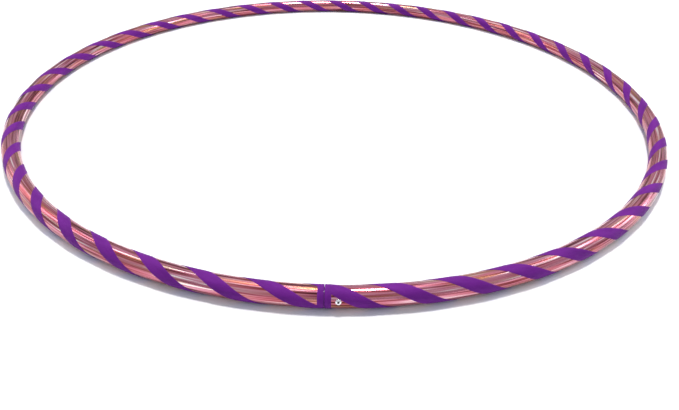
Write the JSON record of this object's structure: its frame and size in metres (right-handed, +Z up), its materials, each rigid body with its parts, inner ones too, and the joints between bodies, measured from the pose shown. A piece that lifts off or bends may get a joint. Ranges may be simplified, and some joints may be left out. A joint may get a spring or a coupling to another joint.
{
  "type": "rhythmic hoop",
  "caption": "Collapsible hoop: plastic tube with rose-gold mirror film and purple grip tape strips wound round it, closed by a connector with a rivet and a snap button.",
  "frame": {"origin": "the middle of the hoop, on the floor that it lies on", "axes": "+Z up through the hoop; the joint between the tube's two cut ends is at -Y"},
  "size_m": [0.9658, 0.9665, 0.0231],
  "materials": {
    "tube_plastic": "satin black polyethylene",
    "mirror_film": "rose-gold metallised plastic film, glossy, with lengthwise wrinkles",
    "grip_cloth": "matte purple cotton gaffer tape",
    "rivet_aluminium": "bright",
    "mandrel_steel": "dull zinc plate",
    "spring_steel": "satin",
    "button_nickel": "nickel plate"
  },
  "bodies": {
    "back_arc": {"tube_back": "tube_plastic", "mirror_film_back": "mirror_film", "grip_tape_a_back": "grip_cloth", "grip_tape_b_back": "grip_cloth"},
    "right_side": {"tube_right_side": "tube_plastic", "mirror_film_right_side": "mirror_film", "grip_tape_a_right_side": "grip_cloth", "grip_tape_b_right_side": "grip_cloth"},
    "right_front": {"tube_right_front": "tube_plastic", "mirror_film_right_front": "mirror_film", "grip_tape_a_right_front": "grip_cloth", "grip_tape_b_right_front": "grip_cloth", "end_band_right": "grip_cloth", "connector_tube": "tube_plastic", "rivet_body": "rivet_aluminium", "rivet_mandrel": "mandrel_steel", "snap_spring": "spring_steel"},
    "left_side": {"tube_left_side": "tube_plastic", "mirror_film_left_side": "mirror_film", "grip_tape_a_left_side": "grip_cloth", "grip_tape_b_left_side": "grip_cloth"},
    "left_front": {"tube_left_front": "tube_plastic", "mirror_film_left_front": "mirror_film", "grip_tape_a_left_front": "grip_cloth", "grip_tape_b_left_front": "grip_cloth", "end_band_left": "grip_cloth"},
    "snap_button": {"snap_button": "button_nickel"}
  },
  "joints": [
    {"name": "hoop_opening", "type": "hinge", "parent": "back_arc", "child": "right_side", "pos_m": [0.3334, 0.3334, 0.01155], "axis": [0, 0, 1], "range_deg": [0, 2.5], "stiffness_Nm_per_rad": 8.2, "deforming": ["snap_button"]},
    {"name": "right_front_flex", "type": "hinge", "parent": "right_side", "child": "right_front", "pos_m": [0.3334, -0.3334, 0.01155], "axis": [0, 0, 1], "range_deg": [0, 2.5], "stiffness_Nm_per_rad": 8.2},
    {"name": "left_back_flex", "type": "hinge", "parent": "back_arc", "child": "left_side", "pos_m": [-0.3334, 0.3334, 0.01155], "axis": [0, 0, 1], "range_deg": [-2.5, 0], "stiffness_Nm_per_rad": 8.2},
    {"name": "left_front_flex", "type": "hinge", "parent": "left_side", "child": "left_front", "pos_m": [-0.3334, -0.3334, 0.01155], "axis": [0, 0, 1], "range_deg": [-2.5, 0], "stiffness_Nm_per_rad": 8.2},
    {"name": "snap_button_press", "type": "slide", "parent": "right_front", "child": "snap_button", "axis": [-0.0382, -0.9993, 0], "range_m": [0, 0.005], "stiffness_N_per_m": 1200, "springref_m": -0.002, "deforming": ["snap_spring"]}
  ],
  "couplings": [
    {"joint": "right_front_flex", "follows": "hoop_opening", "ratio": 1},
    {"joint": "left_back_flex", "follows": "hoop_opening", "ratio": -1},
    {"joint": "left_front_flex", "follows": "hoop_opening", "ratio": -1}
  ]
}
